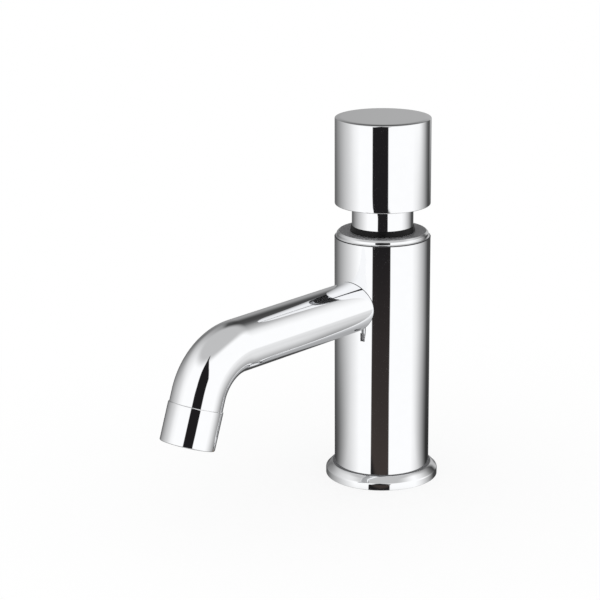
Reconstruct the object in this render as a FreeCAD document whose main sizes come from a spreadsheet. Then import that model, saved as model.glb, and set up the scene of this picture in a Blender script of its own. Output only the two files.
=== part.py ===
import FreeCAD, Part
import os
import re
import Sketcher

# A cold basin tap with a push button that closes itself. Sizes are in mm. The origin is the middle of the
# deck face, under the base ring; Z is up and the spout leaves along -Y.

# Driving dimensions, in mm and degrees, by sub-part.
sizes = {
    # Clearance between pieces that fit in each other.
    "fit_gap": 0.05,
    # Base ring and gasket.
    "base_step": 3.95,
    "base_h": 6.4,
    "base_land": 3.0,
    "base_slope_w": 2.1,
    "base_slope_h": 2.15,
    "base_round": 6.0,
    "base_edge": 0.4,
    "gasket_h": 1.5,
    "gasket_w": 3.6,
    # Body shell.
    "body_r": 21.5,
    "body_h": 108.1,
    "body_wall": 4.0,
    "spigot_step": 1.5,
    "rim_h": 1.0,
    "rim_bevel_w": 0.9,
    "rim_bevel_h": 0.85,
    "ledge_w": 1.0,
    "ledge_h": 0.75,
    "foot_bevel": 0.3,
    "inlet_h": 1.5,
    "web_h": 16.0,
    "web_gap": 0.1,
    "port_cover": 1.75,
    "port_floor": 1.05,
    # Upright slot in the body's wall.
    "slot_turn": 18.0,
    "slot_gap": 2.0,
    "slot_w": 2.0,
    "slot_h": 3.7,
    "slot_depth": 1.2,
    # Inlet tail, G 1/2, with its seal and strainer.
    "tail_r": 10.4775,
    "tail_wall": 4.0,
    "tail_drop": 50.0,
    "tail_screwed_in": 12.5,
    "tail_bevel": 1.2,
    "tail_seal_h": 1.5,
    "tail_seal_w": 2.5,
    "supply_thread_h": 19.0,
    "relief_h": 1.2,
    "relief_depth": 0.9,
    "strainer_rim": 1.5,
    "strainer_h": 4.0,
    "strainer_t": 0.8,
    "strainer_hole_r": 0.7,
    "strainer_edge": 0.6,
    "strainer_rows": 2,
    "strainer_first": 6,
    # Deck washers and back nut.
    "deck_t": 15.0,
    "washer_gap": 0.3,
    "rubber_washer_t": 2.0,
    "rubber_washer_r": 20.0,
    "washer_t": 1.5,
    "washer_r": 19.0,
    "nut_flats": 30.0,
    "nut_height": 9.0,
    "nut_bevel": 1.6,
    "nut_turn": 15.0,
    # Spout tube, from the body's axis along its middle line.
    "spout_fall": 1.5,
    "spout_drop": 71.0,
    "spout_run": 92.45,
    "bend_r": 24.4,
    "spout_end": 21.6,
    "tube_r": 11.4,
    "tube_wall": 1.8,
    "path_start": 8.0,
    # Nipple that holds the tube to the body.
    "nipple_wall": 2.8,
    "nipple_inside": 3.3,
    "nipple_outside": 14.5,
    "nipple_ring_out": 5.5,
    "small_section": 0.88,
    "small_groove": 2.2,
    # Aerator at the outlet.
    "collar_h": 16.9,
    "collar_step": 0.4,
    "collar_thread_h": 8.0,
    "collar_thread_step": 1.1,
    "collar_lip": 1.1,
    "collar_lip_h": 1.6,
    "collar_bevel": 0.5,
    "nose_gap": 0.3,
    "nose_z": 0.5,
    "nose_floor": 1.4,
    "jet_r": 0.9,
    "jet_edge": 0.8,
    "jet_rows": 2,
    "jet_first": 6,
    "screen_t": 0.5,
    "outlet_washer_t": 1.4,
    # Bonnet, whose upper part is the neck, with its bush, rings and clip.
    "neck_inset": 7.75,
    "neck_bevel": 0.8,
    "bonnet_screwed_in": 13.5,
    "bonnet_wall": 3.5,
    "bonnet_ring_below": 4.5,
    "bonnet_lip": 3.0,
    "mouth_gap": 1.0,
    "bush_wall": 3.0,
    "bush_h": 21.0,
    "stem_ring_up": 8.4,
    "stem_section": 0.9,
    "groove_w": 2.4,
    "ring_section": 0.85,
    "neck_ring_w": 0.8,
    "neck_ring_top_w": 0.3,
    "neck_ring_h": 2.5,
    "clip_t": 1.1,
    "clip_lip": 1.0,
    "clip_opening": 4.0,
    # Cartridge housing and valve seat.
    "flange_gap": 0.1,
    "flange_h": 3.0,
    "flange_lip": 1.0,
    "waist_lip": 1.4,
    "cup_wall": 2.5,
    "cup_up": 2.5,
    "seat_drop": 4.5,
    "seat_step": 1.0,
    "seat_h": 3.0,
    "seat_lip_w": 0.9,
    "seat_lip_h": 0.5,
    "top_flange_h": 7.0,
    "bore_below": 6.0,
    "top_ring_below": 3.0,
    "web_ring_up": 4.0,
    "window_count": 6,
    "inlet_window_w": 5.0,
    "inlet_window_h": 7.5,
    "outlet_window_w": 6.0,
    "window_edge": 2.0,
    # Plug, timing screw and return spring.
    "plug_h": 2.0,
    "spring_length": 15.5,
    "screw_r": 2.0,
    "screw_head": 1.2,
    "screw_head_h": 1.2,
    "screw_slot_w": 0.8,
    "coil_inset": 2.6,
    "wire_r": 0.55,
    "coil_turns": 4.5,
    # Spindle, piston and valve washer.
    "spindle_r": 3.0,
    "spindle_bevel": 0.5,
    "spindle_floor": 3.0,
    "piston_gap": 0.4,
    "crown_h": 3.6,
    "piston_neck_wall": 1.3,
    "head_gap": 1.1,
    "head_h": 1.8,
    "lip_up": 0.6,
    "lip_h": 2.4,
    "lip_depth": 1.6,
    "valve_gap": 0.3,
    "valve_inset": 1.0,
    "valve_washer_t": 3.2,
    "valve_overlap": 1.1,
    "retainer_wall": 1.5,
    "retainer_gap": 1.5,
    "retainer_h": 2.4,
    # Push button: cap, hub, lock nut and guide ring.
    "travel": 8.0,
    "stop_gap": 0.4,
    "button_gap": 12.35,
    "cap_step": 0.1,
    "cap_h": 39.2,
    "cap_wall": 2.9,
    "cap_top_t": 4.0,
    "cap_ledge": 1.0,
    "cap_edge": 1.0,
    "cap_foot_edge": 0.5,
    "spindle_headroom": 1.85,
    "spindle_above_nut": 1.2,
    "lock_flats": 10.0,
    "lock_nut_h": 3.6,
    "lock_bevel": 0.5,
    "hub_boss_r": 8.0,
    "hub_boss_h": 5.8,
    "hub_disc_t": 3.6,
    "guide_inset": 0.75,
    "guide_h": 5.0,
}

# Dimensions that follow from the driving ones. Names that end in _z are heights above the deck.
derived = {
    "base_r": "body_r + base_step",
    "base_slope_r": "base_r - base_slope_w",
    "base_slope_z": "base_land + base_slope_h",
    "body_top_z": "base_h + body_h",
    "spigot_r": "body_r - spigot_step",
    "rim_r": "body_r - ledge_w",
    "rim_top_z": "body_top_z - rim_bevel_h",
    "rim_bottom_z": "rim_top_z - rim_h",
    "chamber_r": "body_r - body_wall",
    "retainer_r": "spindle_r + retainer_wall",
    "seat_bore_r": "retainer_r + retainer_gap",
    "seat_lip_r": "seat_bore_r + seat_lip_w",
    "valve_washer_r": "seat_lip_r + valve_overlap",
    "cup_r": "valve_washer_r + valve_inset",
    "cartridge_r": "cup_r + cup_wall",
    "flange_r": "cartridge_r + waist_lip",
    "sleeve_r": "flange_r - flange_lip",
    "thread_r": "flange_r + flange_gap",
    "bonnet_bottom_z": "body_top_z - bonnet_screwed_in",
    "bore_bottom_z": "bonnet_bottom_z - bore_below",
    "tail_bottom_z": "-tail_drop",
    "tail_top_z": "gasket_h + tail_screwed_in",
    "tail_ledge_z": "tail_top_z + tail_seal_h",
    "chamber_bottom_z": "tail_ledge_z + inlet_h",
    "tail_bore_r": "tail_r - tail_wall",
    "inlet_r": "tail_r - tail_seal_w",
    "relief_bottom_z": "tail_bottom_z + supply_thread_h",
    "strainer_seat_r": "tail_bore_r + strainer_rim",
    "strainer_pitch": "(tail_bore_r - strainer_hole_r - strainer_edge) / strainer_rows",
    "strainer_top_z": "tail_bottom_z + strainer_h",
    "washer_top_z": "-deck_t - rubber_washer_t",
    "nut_top_z": "washer_top_z - washer_t",
    "nut_bottom_z": "nut_top_z - nut_height",
    "tube_bore_r": "tube_r - tube_wall",
    "spout_z": "bore_bottom_z - port_cover - tube_bore_r",
    "web_top_z": "spout_z - tube_bore_r - port_floor",
    "web_bottom_z": "web_top_z - web_h",
    "slot_z": "spout_z - tube_r - slot_gap",
    "port_start": "chamber_r - 5",
    "port_length": "body_wall * 2 + 5",
    "bend_start_y": "-spout_run * cos(spout_fall * 1deg)",
    "bend_start_z": "spout_z - spout_run * sin(spout_fall * 1deg)",
    "bend_mid_y": "bend_start_y + bend_r * sin(spout_fall * 1deg)",
    "bend_mid_z": "bend_start_z - bend_r * cos(spout_fall * 1deg)",
    "bend_end_y": "bend_mid_y - bend_r * sin(spout_drop * 1deg)",
    "bend_end_z": "bend_mid_z + bend_r * cos(spout_drop * 1deg)",
    "outlet_y": "bend_end_y - spout_end * cos(spout_drop * 1deg)",
    "outlet_z": "bend_end_z - spout_end * sin(spout_drop * 1deg)",
    "tube_end": "spout_end - collar_h + collar_thread_h",
    "nipple_bore_r": "tube_bore_r - nipple_wall",
    "nipple_start": "body_r - nipple_inside",
    "nipple_end": "body_r + nipple_outside",
    "nipple_ring_at": "body_r + nipple_ring_out",
    "small_groove_r": "tube_bore_r - small_section * 2",
    "collar_r": "tube_r + collar_step",
    "collar_thread_r": "tube_r - collar_thread_step",
    "collar_bore_r": "collar_thread_r + fit_gap",
    "collar_lip_r": "collar_thread_r - collar_lip",
    "nose_r": "collar_lip_r - nose_gap",
    "jet_pitch": "(nose_r - jet_r - jet_edge) / jet_rows",
    "outlet_washer_top": "collar_h - collar_thread_h",
    "screen_top": "outlet_washer_top - outlet_washer_t",
    "screen_bottom": "screen_top - screen_t",
    "cap_r": "body_r - cap_step",
    "neck_r": "body_r - neck_inset",
    "cap_bottom_z": "body_top_z + button_gap",
    "cap_top_z": "cap_bottom_z + cap_h",
    "cap_ceiling_z": "cap_top_z - cap_top_t",
    "cap_bore_r": "cap_r - cap_wall",
    "cap_inner_r": "cap_bore_r - cap_ledge",
    "spindle_top_z": "cap_ceiling_z - spindle_headroom",
    "hub_boss_top_z": "spindle_top_z - spindle_above_nut - lock_nut_h",
    "cap_ledge_z": "hub_boss_top_z - hub_boss_h",
    "hub_bottom_z": "cap_ledge_z - hub_disc_t",
    "guide_bottom_z": "cap_bottom_z + guide_inset",
    "bonnet_top_z": "hub_bottom_z - travel - stop_gap",
    "bonnet_bore_r": "thread_r - bonnet_wall",
    "bonnet_ring_z": "body_top_z - bonnet_ring_below",
    "ring_groove_r": "thread_r + fit_gap - ring_section * 2",
    "mouth_r": "spindle_r + mouth_gap",
    "bush_r": "spindle_r + bush_wall",
    "bush_top_z": "bonnet_top_z - bonnet_lip",
    "bush_bottom_z": "bush_top_z - bush_h",
    "stem_ring_z": "bush_bottom_z + stem_ring_up",
    "stem_ring_r": "spindle_r + fit_gap * 2 + stem_section",
    "clip_r": "bush_r + clip_lip",
    "clip_bore_r": "spindle_r + 1.6",
    "seat_r": "cup_r + seat_step",
    "seat_z": "web_top_z - seat_drop",
    "cup_bottom_z": "chamber_bottom_z + cup_up",
    "top_flange_z": "bonnet_bottom_z - top_flange_h",
    "top_ring_z": "bonnet_bottom_z - top_ring_below",
    "web_ring_z": "web_bottom_z + web_ring_up",
    "web_groove_r": "cartridge_r + web_gap - ring_section * 2",
    "inlet_window_top": "web_bottom_z - window_edge",
    "inlet_window_z": "inlet_window_top - inlet_window_h",
    "outlet_window_z": "web_top_z + flange_h + window_edge",
    "outlet_window_top": "top_flange_z - window_edge",
    "plug_top_z": "cup_bottom_z + plug_h",
    "screw_head_r": "screw_r + screw_head",
    "coil_r": "cup_r - coil_inset",
    "retainer_z": "seat_z - seat_lip_h - valve_gap",
    "valve_washer_z": "retainer_z - valve_washer_t",
    "head_z": "valve_washer_z - head_h",
    "head_r": "cup_r - head_gap",
    "piston_r": "cup_r - piston_gap",
    "piston_neck_r": "spindle_r + piston_neck_wall",
    "piston_bottom_z": "plug_top_z + spring_length",
    "crown_top_z": "piston_bottom_z + crown_h",
    "spindle_bottom_z": "piston_bottom_z + spindle_floor",
    "lip_z": "piston_bottom_z + lip_up",
    "lip_groove_r": "piston_r - lip_depth",
}

# The sheet holds a name and a value, or a formula, in each row.
doc = FreeCAD.newDocument("cold_basin_tap")
sheet = doc.addObject("Spreadsheet::Sheet", "Sizes")
spare_sheet = doc.addObject("Spreadsheet::Sheet", "Working")
rows = [(name, str(value)) for name, value in sizes.items()]
rows += [(name, "=" + formula) for name, formula in derived.items()]
for number, (name, content) in enumerate(rows, 1):
    sheet.set("A%d" % number, name)
    sheet.set("B%d" % number, content)
    sheet.setAlias("B%d" % number, name)
sheet.recompute()
known = {name for name, content in rows}
parts = []


def linked(formula):
    """The formula with each size read from the sheet."""

    def from_sheet(word):
        return "Sizes." + word[0] if word[0] in known else word[0]

    return re.sub(r"[a-z_]+[a-z_0-9]*", from_sheet, formula)


def worked(formula):
    """The formula's present value as a plain number."""
    spare_sheet.set("A1", "=" + linked(formula))
    spare_sheet.recompute()
    value = spare_sheet.get("A1")
    return float(getattr(value, "Value", value))


def new_body(label):
    """An empty sub-part, listed for writing."""
    body = doc.addObject("PartDesign::Body", label)
    body.Label = label
    parts.append(body)
    return body


def sketch_on(body, role):
    """An empty sketch on one of the body's own origin planes."""
    sketch = body.newObject("Sketcher::SketchObject", body.Label + "_sketch")
    plane = [feature for feature in body.Origin.OriginFeatures if feature.Role == role][0]
    sketch.AttachmentSupport = [(plane, "")]
    sketch.MapMode = "FlatFace"
    return sketch


def moved_sketch(sketch, across, up, out, axis="1; 0; 0", angle="0"):
    """Shift a sketch off its plane by formulas and turn it about one of its own axes, in degrees."""
    place = "placement(vector(%s; %s; %s); rotation(vector(%s); %s))" % (across, up, out, axis, angle)
    sketch.setExpression("AttachmentOffset", linked(place))


def pin_point(sketch, line, end, across, up):
    """Hold one point of a sketch where two formulas put it."""
    for kind, axis, formula in (("DistanceX", -2, across), ("DistanceY", -1, up)):
        if formula == "0":
            sketch.addConstraint(Sketcher.Constraint("PointOnObject", line, end, axis))
        else:
            held = sketch.addConstraint(Sketcher.Constraint(kind, -1, 1, line, end, worked(formula)))
            sketch.setExpression("Constraints[%d]" % held, linked(formula))


def outline(body, role, corners):
    """A closed outline of straight lines through corners, each a pair of formulas."""
    sketch = sketch_on(body, role)
    places = [FreeCAD.Vector(worked(across), worked(up), 0) for across, up in corners]
    for start, end in zip(places, places[1:] + places[:1]):
        sketch.addGeometry(Part.LineSegment(start, end), False)
    for line, (across, up) in enumerate(corners):
        pin_point(sketch, line, 1, across, up)
        sketch.addConstraint(Sketcher.Constraint("Coincident", line, 2, (line + 1) % len(corners), 1))
    return sketch


def box_outline(body, role, left, right, bottom, top):
    """A closed upright rectangle."""
    return outline(body, role, [(left, bottom), (right, bottom), (right, top), (left, top)])


def circle(body, role, radius, across="0", up="0"):
    """A sketch of one whole circle."""
    sketch = sketch_on(body, role)
    middle = FreeCAD.Vector(worked(across), worked(up), 0)
    sketch.addGeometry(Part.Circle(middle, FreeCAD.Vector(0, 0, 1), worked(radius)), False)
    pin_point(sketch, 0, 3, across, up)
    held = sketch.addConstraint(Sketcher.Constraint("Radius", 0, worked(radius)))
    sketch.setExpression("Constraints[%d]" % held, linked(radius))
    return sketch


def feature(body, kind, sketch=None):
    """A new feature at the body's tip, made from a sketch where it needs one."""
    step = body.newObject("PartDesign::" + kind, body.Label + "_" + kind.lower())
    if sketch is not None:
        step.Profile = sketch
    body.Tip = step
    return step


def turn(body, corners, kind="Revolution"):
    """Turn an outline of (radius, height) corners round the body's Z axis, to add or to cut."""
    sketch = outline(body, "XZ_Plane", corners)
    step = feature(body, kind, sketch)
    step.ReferenceAxis = (sketch, ["V_Axis"])
    step.Angle = 360
    doc.recompute([body])
    return body


def turned(label, corners):
    """A new body turned from an outline of (radius, height) corners."""
    return turn(new_body(label), corners)


def ring(label, inner, outer, bottom, top):
    """A plain ring of square section."""
    return turned(label, [(inner, bottom), (outer, bottom), (outer, top), (inner, top)])


def ring_cut(body, inner, outer, bottom, top):
    """Cut a ring of square section out of a body."""
    return turn(body, [(inner, bottom), (outer, bottom), (outer, top), (inner, top)], "Groove")


def o_ring(label, radius, section, height):
    """A rubber ring, round in section but pressed to eight flats, one on the groove and one on the bore."""
    corners = []
    for side in range(8):
        angle = "(22.5 + 45 * %d) * 1deg" % side
        across = "%s + %s / cos(22.5deg) * cos(%s)" % (radius, section, angle)
        corners.append((across, "%s + %s / cos(22.5deg) * sin(%s)" % (height, section, angle)))
    return turned(label, corners)


def cut_to(body, sketch, depth):
    """Cut a sketch from its plane to a depth, towards the side where the solid is."""
    before = body.Shape.Volume
    cut = feature(body, "Pocket", sketch)
    cut.setExpression("Length", linked(depth))
    doc.recompute([body])
    if abs(body.Shape.Volume - before) < 0.01:
        cut.Reversed = True
        doc.recompute([body])
    return cut


def repeated(body, cut, count):
    """Repeat a cut evenly round the body's Z axis."""
    pattern = feature(body, "PolarPattern")
    axis = [origin for origin in body.Origin.OriginFeatures if origin.Role == "Z_Axis"][0]
    pattern.Originals = [cut]
    pattern.Axis = (axis, [""])
    pattern.Angle = 360
    pattern.setExpression("Occurrences", linked(count))
    doc.recompute([body])
    return pattern


def rounded(body, radius, height, size):
    """Round the circular edge of a given radius at a given height."""
    names = []
    for number, edge in enumerate(body.Shape.Edges, 1):
        if isinstance(edge.Curve, Part.Circle):
            apart = abs(edge.Curve.Radius - worked(radius)) + abs(edge.Curve.Center.z - worked(height))
            if apart < 0.01:
                names.append("Edge%d" % number)
    base = body.Tip
    step = feature(body, "Fillet")
    step.Base = (base, names)
    step.setExpression("Radius", linked(size))
    doc.recompute([body])


def placed(body, y, z, angle):
    """Put a body in the YZ plane, tipped about X by an angle in degrees."""
    place = "placement(vector(0; %s; %s); rotation(vector(1; 0; 0); %s))" % (y, z, angle)
    body.setExpression("Placement", linked(place))


def drilled_rings(body, hole_r, rows, depth, spacing, per_row):
    """Drill rows of holes round the Z axis, each row farther out and with more holes."""
    for row in range(1, round(worked(rows)) + 1):
        hole = circle(body, "XY_Plane", hole_r, "%s * %d" % (spacing, row))
        repeated(body, cut_to(body, hole, depth), "%s * %d" % (per_row, row))


# Base ring: the wide low ring that covers the hole in the deck. Above an upright land it slopes up to the
# body's foot in a slightly rounded cone.
base_ring = turned(
    "base_ring",
    [
        ("spigot_r + fit_gap", "0"),
        ("base_r", "0"),
        ("base_r", "base_land"),
        ("base_slope_r", "base_slope_z"),
        ("body_r", "base_h"),
        ("spigot_r + fit_gap", "base_h"),
    ],
)
rounded(base_ring, "base_slope_r", "base_slope_z", "base_round")
rounded(base_ring, "base_r", "base_land", "base_edge")

# Base gasket: keeps splashed water out of the deck hole, under the body's spigot.
ring("base_gasket", "spigot_r - gasket_w", "spigot_r - fit_gap", "0", "gasket_h")

# Body shell: one turned casting. From below up it has the threaded socket of the tail, the inlet passage,
# the inlet chamber, the web that the cartridge seals in, the outlet chamber and the bore of the bonnet.
# Outside, its top steps in over a sloped ledge to a low rim with a bevelled edge.
body_shell = turned(
    "body_shell",
    [
        ("tail_r + fit_gap", "gasket_h"),
        ("spigot_r", "gasket_h"),
        ("spigot_r", "base_h"),
        ("body_r - foot_bevel", "base_h"),
        ("body_r", "base_h + foot_bevel"),
        ("body_r", "rim_bottom_z - ledge_h"),
        ("rim_r", "rim_bottom_z"),
        ("rim_r", "rim_top_z"),
        ("rim_r - rim_bevel_w", "body_top_z"),
        ("thread_r + fit_gap", "body_top_z"),
        ("thread_r + fit_gap", "bore_bottom_z"),
        ("chamber_r", "bore_bottom_z"),
        ("chamber_r", "web_top_z"),
        ("cartridge_r + web_gap", "web_top_z"),
        ("cartridge_r + web_gap", "web_bottom_z"),
        ("chamber_r", "web_bottom_z"),
        ("chamber_r", "chamber_bottom_z"),
        ("inlet_r", "chamber_bottom_z"),
        ("inlet_r", "tail_ledge_z"),
        ("tail_r + fit_gap", "tail_ledge_z"),
    ],
)

# Spout port: the side bore that carries water from the outlet chamber, along the spout's own slope.


def across_spout(body, radius, distance):
    """A circle square to the spout's first run, a distance out from the tap's axis."""
    sketch = circle(body, "XZ_Plane", radius)
    up = "spout_z - %s * sin(spout_fall * 1deg)" % distance
    out = "%s * cos(spout_fall * 1deg)" % distance
    moved_sketch(sketch, "0", up, out, "1; 0; 0", "spout_fall")
    return sketch


cut_to(body_shell, across_spout(body_shell, "tube_bore_r", "port_start"), "port_length")

# Upright slot: a small blind recess in the body's wall beside the spout, for a peg spanner.
slot = box_outline(body_shell, "XZ_Plane", "-slot_w / 2", "slot_w / 2", "-slot_h / 2", "slot_h / 2")
slot_across = "body_r * sin(slot_turn * 1deg)"
slot_out = "body_r * cos(slot_turn * 1deg)"
moved_sketch(slot, slot_across, "slot_z", slot_out, "0; 1; 0", "slot_turn")
cut_to(body_shell, slot, "slot_depth")

# Inlet tail: a G 1/2 tail, plain here at the thread's full radius, screwed up into the body. A relief
# groove parts the stretch that takes the supply's nut from the stretch that takes the back nut.
tail = turned(
    "inlet_tail",
    [
        ("strainer_seat_r", "tail_bottom_z"),
        ("tail_r - tail_bevel", "tail_bottom_z"),
        ("tail_r", "tail_bottom_z + tail_bevel"),
        ("tail_r", "tail_top_z"),
        ("tail_bore_r", "tail_top_z"),
        ("tail_bore_r", "strainer_top_z"),
        ("strainer_seat_r", "strainer_top_z"),
    ],
)
ring_cut(tail, "tail_r - relief_depth", "tail_r * 1.1", "relief_bottom_z", "relief_bottom_z + relief_h")

# Tail seal: the flat ring squeezed between the tail's end and the ledge inside the body.
ring("tail_seal", "inlet_r", "tail_r - fit_gap", "tail_top_z", "tail_ledge_z")

# Inlet strainer: a small dish with drilled holes, held by its rim in the tail's lower end.
strainer = turned(
    "inlet_strainer",
    [
        ("0", "strainer_top_z - strainer_t"),
        ("tail_bore_r", "strainer_top_z - strainer_t"),
        ("tail_bore_r", "tail_bottom_z + strainer_t"),
        ("strainer_seat_r - fit_gap", "tail_bottom_z + strainer_t"),
        ("strainer_seat_r - fit_gap", "strainer_top_z"),
        ("0", "strainer_top_z"),
    ],
)
drilled_rings(strainer, "strainer_hole_r", "strainer_rows", "tail_drop", "strainer_pitch", "strainer_first")

# Deck washers and back nut: they clamp the tap from under the deck, drawn up here for a basin's deck.
ring("deck_washer_rubber", "tail_r + washer_gap", "rubber_washer_r", "washer_top_z", "-deck_t")
ring("deck_washer_steel", "tail_r + washer_gap", "washer_r", "nut_top_z", "washer_top_z")


def hexagon(body, flats, turn_by):
    """A six-sided outline, given across its flats and turned off the X axis."""
    corners = []
    for side in range(6):
        angle = "(%s + %d) * 1deg" % (turn_by, 60 * side)
        corners.append(("%s / sqrt(3) * cos(%s)" % (flats, angle), "%s / sqrt(3) * sin(%s)" % (flats, angle)))
    return outline(body, "XY_Plane", corners)


def hex_nut(label, flats, bore, bottom, height, bevel):
    """A six-sided nut with both faces bevelled at the corners and a plain bore."""
    nut = new_body(label)
    sketch = hexagon(nut, flats, "nut_turn")
    moved_sketch(sketch, "0", "0", bottom)
    pad = feature(nut, "Pad", sketch)
    pad.setExpression("Length", linked(height))
    doc.recompute([nut])
    top = "%s + %s" % (bottom, height)
    edge = "%s * 0.6" % flats
    turn(nut, [("%s / 2" % flats, top), (edge, top), (edge, "%s - %s" % (top, bevel))], "Groove")
    turn(nut, [("%s / 2" % flats, bottom), (edge, "%s + %s" % (bottom, bevel)), (edge, bottom)], "Groove")
    bore_sketch = circle(nut, "XY_Plane", bore)
    moved_sketch(bore_sketch, "0", "0", top)
    cut_to(nut, bore_sketch, height)
    return nut


hex_nut("back_nut", "nut_flats", "tail_r + fit_gap", "nut_bottom_z", "nut_height", "nut_bevel")

# Spout tube: one bent tube, its root shaped to the body's wall, its end turned down to take the collar.


def down_run(distance):
    """Formulas for a place on the spout's last run, a distance past the bend."""
    across = "bend_end_y - %s * cos(spout_drop * 1deg)" % distance
    return across, "bend_end_z - %s * sin(spout_drop * 1deg)" % distance


def spout_path(body):
    """The tube's middle line: out from the tap's axis, round the bend and down."""
    sketch = sketch_on(body, "YZ_Plane")
    start = ("-path_start * cos(spout_fall * 1deg)", "spout_z - path_start * sin(spout_fall * 1deg)")
    stops = [start, ("bend_start_y", "bend_start_z"), ("bend_end_y", "bend_end_z"), down_run("tube_end")]
    first, second, third, last = [FreeCAD.Vector(worked(y), worked(z), 0) for y, z in stops]
    middle = FreeCAD.Vector(worked("bend_mid_y"), worked("bend_mid_z"), 0)
    top = middle + ((second - middle) + (third - middle)).normalize() * worked("bend_r")
    sketch.addGeometry(Part.LineSegment(first, second), False)
    sketch.addGeometry(Part.Arc(second, top, third), False)
    sketch.addGeometry(Part.LineSegment(third, last), False)
    pin_point(sketch, 0, 1, *stops[0])
    pin_point(sketch, 0, 2, *stops[1])
    pin_point(sketch, 2, 1, *stops[2])
    pin_point(sketch, 2, 2, *stops[3])
    bend_begins = 2 if sketch.Geometry[1].StartPoint.distanceToPoint(second) > 1 else 1
    sketch.addConstraint(Sketcher.Constraint("Tangent", 0, 2, 1, bend_begins))
    sketch.addConstraint(Sketcher.Constraint("Coincident", 1, 3 - bend_begins, 2, 1))
    return sketch


def swept(body, kind, radius):
    """Sweep a circle along the spout's middle line, to add or to cut."""
    path = spout_path(body)
    doc.recompute([path])
    step = feature(body, kind, across_spout(body, radius, "path_start"))
    step.Spine = (path, ["Edge1", "Edge2", "Edge3"])
    doc.recompute([body])


spout_tube = new_body("spout_tube")
swept(spout_tube, "AdditivePipe", "tube_r")
root = circle(spout_tube, "XY_Plane", "body_r")
root_cut = feature(spout_tube, "Pocket", root)
root_cut.Type = "ThroughAll"
root_cut.Midplane = True
swept(spout_tube, "SubtractivePipe", "tube_bore_r")

# The tube's own thread end, a shorter radius over the length that goes up inside the collar.
spigot = box_outline(spout_tube, "XZ_Plane", "collar_thread_r", "tube_r * 1.2", "0", "collar_thread_h")
spigot_y, spigot_z = down_run("tube_end")
spigot_cut = feature(spout_tube, "Groove", spigot)
spigot_cut.ReferenceAxis = (spigot, ["V_Axis"])
spigot_cut.Angle = 360
moved_sketch(spigot, "0", spigot_z, "-(%s)" % spigot_y, "1; 0; 0", "spout_drop - 90")

# Spout nipple and its ring: the threaded sleeve that holds the tube to the body, with the seal round it.
nipple = ring("spout_nipple", "nipple_bore_r", "tube_bore_r - fit_gap", "nipple_start", "nipple_end")
ring_low = "nipple_ring_at - small_groove / 2"
ring_high = "nipple_ring_at + small_groove / 2"
ring_cut(nipple, "small_groove_r", "tube_bore_r + fit_gap", ring_low, ring_high)
placed(nipple, "0", "spout_z", "90 + spout_fall")
nipple_ring = o_ring("spout_o_ring", "tube_bore_r - small_section", "small_section", "0")
nipple_ring_y = "-nipple_ring_at * cos(spout_fall * 1deg)"
placed(nipple_ring, nipple_ring_y, "spout_z - nipple_ring_at * sin(spout_fall * 1deg)", "90 + spout_fall")

# Aerator collar: the separate ring at the outlet, a little wider than the tube, screwed on its thread end.
collar = turned(
    "aerator_collar",
    [
        ("collar_lip_r", "0"),
        ("collar_r - collar_bevel", "0"),
        ("collar_r", "collar_bevel"),
        ("collar_r", "collar_h - collar_bevel"),
        ("collar_r - collar_bevel", "collar_h"),
        ("collar_bore_r", "collar_h"),
        ("collar_bore_r", "collar_lip_h"),
        ("collar_lip_r", "collar_lip_h"),
    ],
)
placed(collar, "outlet_y", "outlet_z", "spout_drop - 90")

# Aerator insert: the plastic nozzle with a drilled face, seated on the collar's lip.
insert = turned(
    "aerator_insert",
    [
        ("0", "nose_z"),
        ("nose_r", "nose_z"),
        ("nose_r", "collar_lip_h"),
        ("collar_thread_r", "collar_lip_h"),
        ("collar_thread_r", "screen_bottom"),
        ("nose_r", "screen_bottom"),
        ("nose_r", "nose_z + nose_floor"),
        ("0", "nose_z + nose_floor"),
    ],
)
drilled_rings(insert, "jet_r", "jet_rows", "screen_bottom", "jet_pitch", "jet_first")
placed(insert, "outlet_y", "outlet_z", "spout_drop - 90")

# Aerator screen and washer: the fine screen lies on the insert, and the washer seals it to the tube's end.
screen = turned(
    "aerator_screen",
    [
        ("0", "screen_bottom"),
        ("collar_thread_r", "screen_bottom"),
        ("collar_thread_r", "screen_top"),
        ("0", "screen_top"),
    ],
)
placed(screen, "outlet_y", "outlet_z", "spout_drop - 90")
aerator_washer = ring("aerator_washer", "nose_r", "collar_thread_r", "screen_top", "outlet_washer_top")
placed(aerator_washer, "outlet_y", "outlet_z", "spout_drop - 90")

# Bonnet: the neck that shows between body and button. It screws into the body, holds the cartridge down
# and guides the button, outside on its wall and inside through a bush.
bonnet = turned(
    "bonnet",
    [
        ("bonnet_bore_r", "bonnet_bottom_z"),
        ("thread_r", "bonnet_bottom_z"),
        ("thread_r", "body_top_z"),
        ("neck_r", "body_top_z"),
        ("neck_r", "bonnet_top_z - neck_bevel"),
        ("neck_r - neck_bevel", "bonnet_top_z"),
        ("mouth_r", "bonnet_top_z"),
        ("mouth_r", "bush_top_z"),
        ("bush_r + fit_gap", "bush_top_z"),
        ("bush_r + fit_gap", "bush_bottom_z - clip_t * 1.5"),
        ("bonnet_bore_r", "bush_bottom_z - clip_t * 1.5"),
    ],
)
ring_cut(bonnet, "bush_r", "clip_r + fit_gap", "bush_bottom_z - clip_t", "bush_bottom_z")
bonnet_groove_top = "bonnet_ring_z + groove_w / 2"
ring_cut(bonnet, "ring_groove_r", "thread_r + fit_gap", "bonnet_ring_z - groove_w / 2", bonnet_groove_top)
o_ring("bonnet_o_ring", "ring_groove_r + ring_section", "ring_section", "bonnet_ring_z")

# Neck ring: the black rubber lip round the neck's foot, which keeps splashes out of the bonnet's thread.
turned(
    "neck_ring",
    [
        ("neck_r + fit_gap", "body_top_z"),
        ("neck_r + neck_ring_w", "body_top_z"),
        ("neck_r + neck_ring_top_w", "body_top_z + neck_ring_h"),
        ("neck_r + fit_gap", "body_top_z + neck_ring_h"),
    ],
)

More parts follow.
